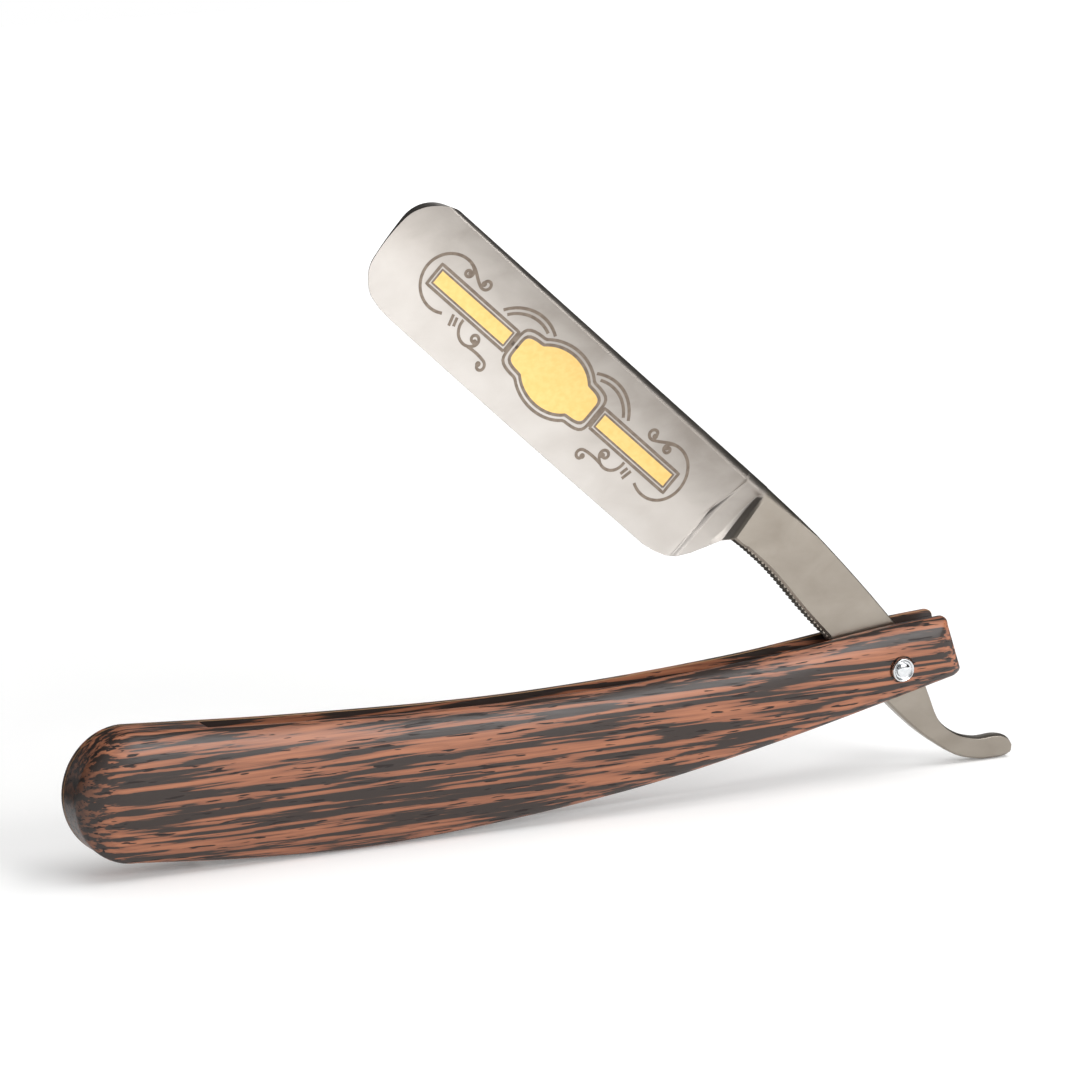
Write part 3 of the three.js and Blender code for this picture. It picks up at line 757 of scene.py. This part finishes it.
# ---------- handle ----------
def height_over(points):
    """A smooth height over x through a few points, with straight ends."""
    xs, ys = np.array(points, float).T

    def at(x):
        i = int(np.clip(np.searchsorted(xs, x, side="right"), 1, len(xs) - 1))
        t0, t1 = xs[i - 1], xs[i]
        before = xs[i - 2] if i >= 2 else t1
        after = xs[i + 1] if i + 1 < len(xs) else t0
        y_before = ys[i - 2] if i >= 2 else ys[i]
        y_after = ys[i + 1] if i + 1 < len(xs) else ys[i - 1]
        half = (t1 - t0) / 2
        wp, wn = half / (t0 - before), half / (after - t1)
        p = (x - t0) / (t1 - t0)
        return (
            (-wp * p**3 + 2 * wp * p**2 - wp * p) * y_before
            + ((1 + wp) * p**3 + (-1.5 - 2 * wp) * p**2 + (wp - 0.5) * p + 1) * ys[i - 1]
            + ((-1 - wn) * p**3 + (1.5 + wn) * p**2 + 0.5 * p) * ys[i]
            + (wn * p**3 - wn * p**2) * y_after
        )

    return at


NOSE_CENTRE = -(HANDLE_REACH - NOSE_LENGTH)
top_edge = height_over([
    (NOSE_CENTRE, NOSE_TOP), (-0.74 * HANDLE_REACH, WAIST_TOP + 1.1), (-0.46 * HANDLE_REACH, WAIST_TOP),
    (-0.19 * HANDLE_REACH, WAIST_TOP + 1.75), (0, END_TOP - 0.65), (OVERHANG, END_TOP),
])
bottom_edge = height_over([
    (NOSE_CENTRE, NOSE_BOTTOM), (-0.8 * HANDLE_REACH, BELLY_BOTTOM + 0.7),
    (-0.64 * HANDLE_REACH, BELLY_BOTTOM), (-0.35 * HANDLE_REACH, BELLY_BOTTOM + 3.15),
    (-0.15 * HANDLE_REACH, BELLY_BOTTOM + 8.0),
    (OVERHANG + END_SLANT, END_BOTTOM),
])


def bend(a, b, c, steps):
    """Points of a rounded corner from a to c, pulled towards b."""
    t = np.linspace(0, 1, steps)[:, None]
    return (1 - t) ** 2 * np.array(a) + 2 * t * (1 - t) * np.array(b) + t**2 * np.array(c)


def handle_rim(nose_steps=64, edge_steps=150):
    """Rim points from the square end's top corner round the nose, each with its place on the crest."""
    rim, crest = [], []
    end_x, corner_top = OVERHANG - CREST_STOP, OVERHANG - CORNER_RADIUS
    corner_bottom = OVERHANG + END_SLANT - CORNER_RADIUS

    def ridge(x):
        return (x, (top_edge(x) + bottom_edge(x)) / 2)

    for x in np.linspace(corner_top, NOSE_CENTRE, edge_steps + 1):
        rim.append((x, top_edge(x)))
        crest.append(ridge(min(x, end_x)))
    middle, half = (NOSE_TOP + NOSE_BOTTOM) / 2, (NOSE_TOP - NOSE_BOTTOM) / 2
    for turn in np.linspace(0, math.pi, nose_steps + 1)[1:-1]:
        rim.append((NOSE_CENTRE - NOSE_LENGTH * math.sin(turn), middle + half * math.cos(turn)))
        crest.append(ridge(NOSE_CENTRE))
    for share in np.linspace(0, 1, edge_steps + 1):
        x = mix(NOSE_CENTRE, corner_bottom, share)
        rim.append((x, bottom_edge(x)))
        crest.append(ridge(min(mix(NOSE_CENTRE, corner_top, share), end_x)))
    under, over = (corner_bottom, bottom_edge(corner_bottom)), (corner_top, top_edge(corner_top))
    low = (OVERHANG + END_SLANT, under[1] + CORNER_RADIUS)
    high = (OVERHANG, over[1] - CORNER_RADIUS)
    corners = [
        *bend(under, (low[0], low[1] - 0.6 * CORNER_RADIUS), low, 10)[1:],
        *np.linspace(low, high, 14)[1:-1],
        *bend(high, (high[0] - 0.1, over[1]), over, 10)[:-1],
    ]
    rim += [tuple(p) for p in corners]
    crest += [ridge(end_x)] * len(corners)
    return np.array(rim), np.array(crest)


def scale_thickness(x):
    """A scale's thickness at its crest, thinner towards the pivot."""
    share = np.clip((x + 0.5 * HANDLE_REACH) / (0.5 * HANDLE_REACH), 0, 1)
    return SCALE_THICKNESS - PIVOT_THINNING * share**2 * (3 - 2 * share)


def make_scale(name, node, side):
    """One scale, crowned from its rim to its crest, with its pin hole and the collar's seat."""
    rim, crest = handle_rim()
    inward = (crest - rim) / np.linalg.norm(crest - rim, axis=1)[:, None]

    def ring(share, inset, rise):
        place = mix(crest, rim, share) + inward * inset
        return on_handle(place[:, 0], side * (HALF_SLOT + rise(place[:, 0])), place[:, 1])

    def flush(x):
        return 0 * x

    rings = [ring(0, 0, flush), ring(0.5, 0, flush), ring(1, RIM_CHAMFER, flush)]
    rings.append(ring(1, 0, lambda x: RIM_CHAMFER + 0 * x))
    for turn in np.linspace(0, math.pi / 2, 34):
        share = math.cos(turn) ** 0.55
        crown = max(0.0, 1 - share**CROWN_POWER) ** 0.5
        rings.append(ring(share, 0, lambda x, c=crown: EDGE_LAND + (scale_thickness(x) - EDGE_LAND) * c))
    scale = shell(name, rings, WENGE, node, sharp=40)
    outer = HALF_SLOT + scale_thickness(0)
    drill(scale, PIN_RADIUS + SHANK_GAP, -PAST_THE_HANDLE, PAST_THE_HANDLE)
    seat = sorted([side * (outer - COLLAR_SINK), side * PAST_THE_HANDLE])
    drill(scale, COLLAR_RADIUS + SHANK_GAP, *seat)
    dress(scale, WENGE, 40)
    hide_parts(node)
    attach(scale, "handle")


def drill(piece, radius, start, end):
    """Cuts a round hole along Y about the pivot."""
    bore = bmesh.new()
    middle = PIVOT + Vector((0, (start + end) / 2 * MM, 0))
    bmesh.ops.create_cone(
        bore, cap_ends=True, segments=64, radius1=radius * MM, radius2=radius * MM,
        depth=(end - start) * MM, matrix=Matrix.Translation(middle) @ Matrix.Rotation(math.pi / 2, 4, "X"),
    )
    mesh = bpy.data.meshes.new("bore")
    bore.to_mesh(mesh)
    cutter = placed("bore", mesh)
    cut = piece.modifiers.new("bore", "BOOLEAN")
    cut.object, cut.operation, cut.solver = cutter, "DIFFERENCE", "EXACT"
    settle(piece)
    bpy.data.objects.remove(cutter)


def make_wedge():
    """The wedge of the same wood, glued between the scales and shaped with them."""
    rim, _ = handle_rim()
    inner = -(TOE_REACH + TOE_ROOM)
    nose = rim[rim[:, 0] <= inner]
    waist = bend((inner, bottom_edge(inner)), (inner - 1.6, -5), (inner, top_edge(inner)), 24)
    outline = np.concatenate([nose, waist])
    # a hair inside the scales on every side
    inset_share, glue_line = 0.996, 0.01
    middle = outline.mean(0)
    outline = mix(middle, outline, inset_share)
    half = HALF_SLOT - glue_line
    rings = []
    for share, y in ((0.001, -half), (0.6, -half), (1, -half), (1, half), (0.6, half), (0.001, half)):
        place = mix(middle, outline, share)
        rings.append(on_handle(place[:, 0], y, place[:, 1]))
    wedge = shell("wedge_wood", rings, WENGE, sharp=30)
    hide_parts("wedge")
    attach(wedge, "handle")


# ---------- rivet ----------
def turned(name, profile, material, node, side=1, steps=96, closed=True):
    """A turned piece about the pivot's axis, from (radius, distance out) points."""
    turn = np.linspace(0, 2 * math.pi, steps, endpoint=False)
    loop = [*profile, profile[0]] if closed else profile
    rings = [on_handle(r * np.cos(turn), side * y, r * np.sin(turn)) for r, y in loop]
    piece = shell(name, rings, material, node, sharp=38)
    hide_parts(node)
    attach(piece, "handle")


def rounded(points, radius=0.06, steps=5):
    """Breaks the corners of a profile."""
    points = [np.array(p, float) for p in points]
    out = []
    for i, p in enumerate(points):
        before, after = points[i - 1] - p, points[(i + 1) % len(points)] - p
        cut = min(radius, 0.45 * np.linalg.norm(before), 0.45 * np.linalg.norm(after))
        a = p + before / np.linalg.norm(before) * cut
        b = p + after / np.linalg.norm(after) * cut
        out += [tuple(q) for q in bend(a, p, b, steps)]
    return out


def make_rivet():
    """The pin, peened at both ends over two dished collars."""
    floor = HALF_SLOT + scale_thickness(0) - COLLAR_SINK + SEAT_GAP
    hole, rim = PIN_RADIUS + SHANK_GAP, COLLAR_RADIUS - COLLAR_RIM
    dish = COLLAR_HEIGHT - COLLAR_DISH
    ring = [
        (hole, floor), (COLLAR_RADIUS, floor), (COLLAR_RADIUS, floor + COLLAR_HEIGHT - 0.3),
        (COLLAR_RADIUS - 0.08, floor + COLLAR_HEIGHT - 0.1), (COLLAR_RADIUS - 0.2, floor + COLLAR_HEIGHT),
        (rim, floor + COLLAR_HEIGHT - 0.1), (rim - 0.12, floor + dish), (hole, floor + dish),
    ]
    for end, side in (("front", -1), ("rear", 1)):
        turned(f"{end}_collar_turned", rounded(ring), NICKEL, f"{end}_collar", side)
    seat = floor + dish + SEAT_GAP / 2
    dome = [
        (PIN_HEAD_RADIUS * math.cos(t), seat + 0.1 + (PIN_HEAD_HEIGHT - 0.1) * math.sin(t))
        for t in np.linspace(0, math.pi / 2, 14)
    ]
    half = [(PIN_RADIUS, seat), (PIN_HEAD_RADIUS, seat), *dome]
    turned(
        "pivot_pin_peened", [*[(r, -y) for r, y in half][::-1], *half], NICKEL, "pivot_pin",
        closed=False,
    )


# ---------- studio ----------
def studio_plane(name, place, size, turn, material):
    mesh = bpy.data.meshes.new(name)
    w, d = size[0] / 2, size[1] / 2
    matrix = Matrix.Translation(place) @ turn.to_matrix().to_4x4()
    corners = [matrix @ Vector(c) for c in ((-w, -d, 0), (w, -d, 0), (w, d, 0), (-w, d, 0))]
    mesh.from_pydata(corners, [], [(0, 1, 2, 3)])
    mesh.materials.append(material)
    plane = placed(name, mesh)
    return plane


def aimed(place, target):
    return (Vector(target) - Vector(place)).to_track_quat("-Z", "Y")


def soft_light(name, place, size, power):
    """A white soft box, turned to the razor's middle."""
    data = bpy.data.lights.new(name, "AREA")
    data.shape, data.size, data.size_y, data.energy = "RECTANGLE", size[0], size[1], power
    lamp = bpy.data.objects.new(name, data)
    lamp.location = place
    lamp.rotation_mode = "QUATERNION"
    lamp.rotation_quaternion = aimed(place, (0, 0, 0.03))
    bpy.context.scene.collection.objects.link(lamp)


def make_studio():
    paper, tree, shader = new_material("backdrop_paper")
    coords = add(tree, "ShaderNodeTexCoord").outputs["Object"]
    tone = grain(tree, coords, 60, 60, 2)
    white = add(tree, "ShaderNodeValToRGB", {0: tone}, stops=[(0.3, "#f4f4f4"), (0.7, "#f7f7f6")])
    tree.links.new(white.outputs[0], shader.inputs["Base Color"])
    shader.inputs["Roughness"].default_value = 0.9
    # the paper glows a little away from the razor, so that it stays white beyond the shadows
    away = add(tree, "ShaderNodeVectorMath", {0: coords}, operation="LENGTH").outputs["Value"]
    glow = add(tree, "ShaderNodeMapRange", {0: away, 1: 0.10, 2: 0.55, 3: 0.10, 4: 0.60}).outputs[0]
    tree.links.new(glow, shader.inputs["Emission Strength"])
    shader.inputs["Emission Color"].default_value = srgb("#ffffff")
    flat = Vector((0, 0, 1)).to_track_quat("Z", "Y")
    studio_plane("floor", (0, -1.2, -0.0002), (6, 4), flat, paper)
    felt, _, dull = new_material("black_felt")
    dull.inputs["Base Color"].default_value = srgb("#101010")
    dull.inputs["Roughness"].default_value = 0.95
    # black flags that only the gloss sees: they draw the dark spine, tail, toe and shoulder
    for name, place, size, target in (
        ("flag_right", (0.85, 0.20, 0.26), (1.2, 0.56), (0, 0, 0.08)),
        ("flag_front_right", (0.78, -0.54, 0.22), (0.70, 0.46), (0, 0, 0.08)),
        ("flag_behind", (-0.15, 0.95, 0.55), (1.5, 0.6), (0, 0, 0.05)),
        ("flag_low", (0.15, 0.31, 0.002), (0.9, 0.56), (0.15, 0.31, 1.0)),
        ("flag_front", (-0.03, -1.3, 0.27), (0.42, 0.2), (0, 0, 0.06)),
        ("flag_left_high", (-0.56, -0.44, 0.72), (0.7, 0.5), (0, 0, 0.06)),
        ("flag_top", (0.0, 0.12, 0.62), (1.3, 0.9), (0, 0.12, 0)),
        ("flag_left", (-0.60, 0.02, 0.16), (0.9, 0.5), (0, 0, 0.05)),
    ):
        flag = studio_plane(name, place, size, aimed(place, target), felt)
        flag.visible_camera = flag.visible_diffuse = flag.visible_shadow = False
    # a white room to the eye, dimmer as light, so that the soft boxes shape the wood
    world = bpy.data.worlds.new("studio")
    world.use_nodes = True
    room = world.node_tree
    seen = add(room, "ShaderNodeLightPath").outputs["Is Camera Ray"]
    level = add(room, "ShaderNodeMapRange", {0: seen, 3: 0.45, 4: 1.0}).outputs[0]
    room.links.new(level, room.nodes["Background"].inputs[1])
    room.nodes["Background"].inputs[0].default_value = srgb("#ffffff")
    bpy.context.scene.world = world
    soft_light("key", (0.36, -0.22, 0.80), (0.60, 0.34), 3)
    soft_light("overhead", (-0.1, 0.05, 1.3), (1.2, 0.9), 3.5)
    soft_light("front", (0.35, -0.74, 0.40), (0.60, 0.40), 4.5)
    bpy.context.scene.view_settings.view_transform = "Standard"


def make_camera():
    data = bpy.data.cameras.new("camera")
    data.sensor_width, data.lens = 36, 202.82
    camera = bpy.data.objects.new("camera", data)
    place, yaw, pitch = (-0.397636, -0.806834, 0.260794), math.radians(26), math.radians(13.47)
    forward = Vector((math.sin(yaw) * math.cos(pitch), math.cos(yaw) * math.cos(pitch), -math.sin(pitch)))
    right = Vector((math.cos(yaw), -math.sin(yaw), 0))
    facing = Matrix((right, right.cross(forward), -forward)).transposed().to_4x4()
    camera.matrix_world = Matrix.Translation(place) @ facing
    bpy.context.scene.collection.objects.link(camera)
    bpy.context.scene.camera = camera
    data.clip_start, data.clip_end = 0.05, 50


# ---------- the razor ----------
blade = make_blade()
make_jimps()
make_ornament(blade)
make_scale("front_scale_wood", "front_scale", -1)
make_scale("rear_scale_wood", "rear_scale", 1)
make_wedge()
make_rivet()
for node in ("front_washer", "rear_washer"):
    frame["nodes"][node].data.materials.clear()
    frame["nodes"][node].data.materials.append(BRASS)
make_camera()
make_studio()
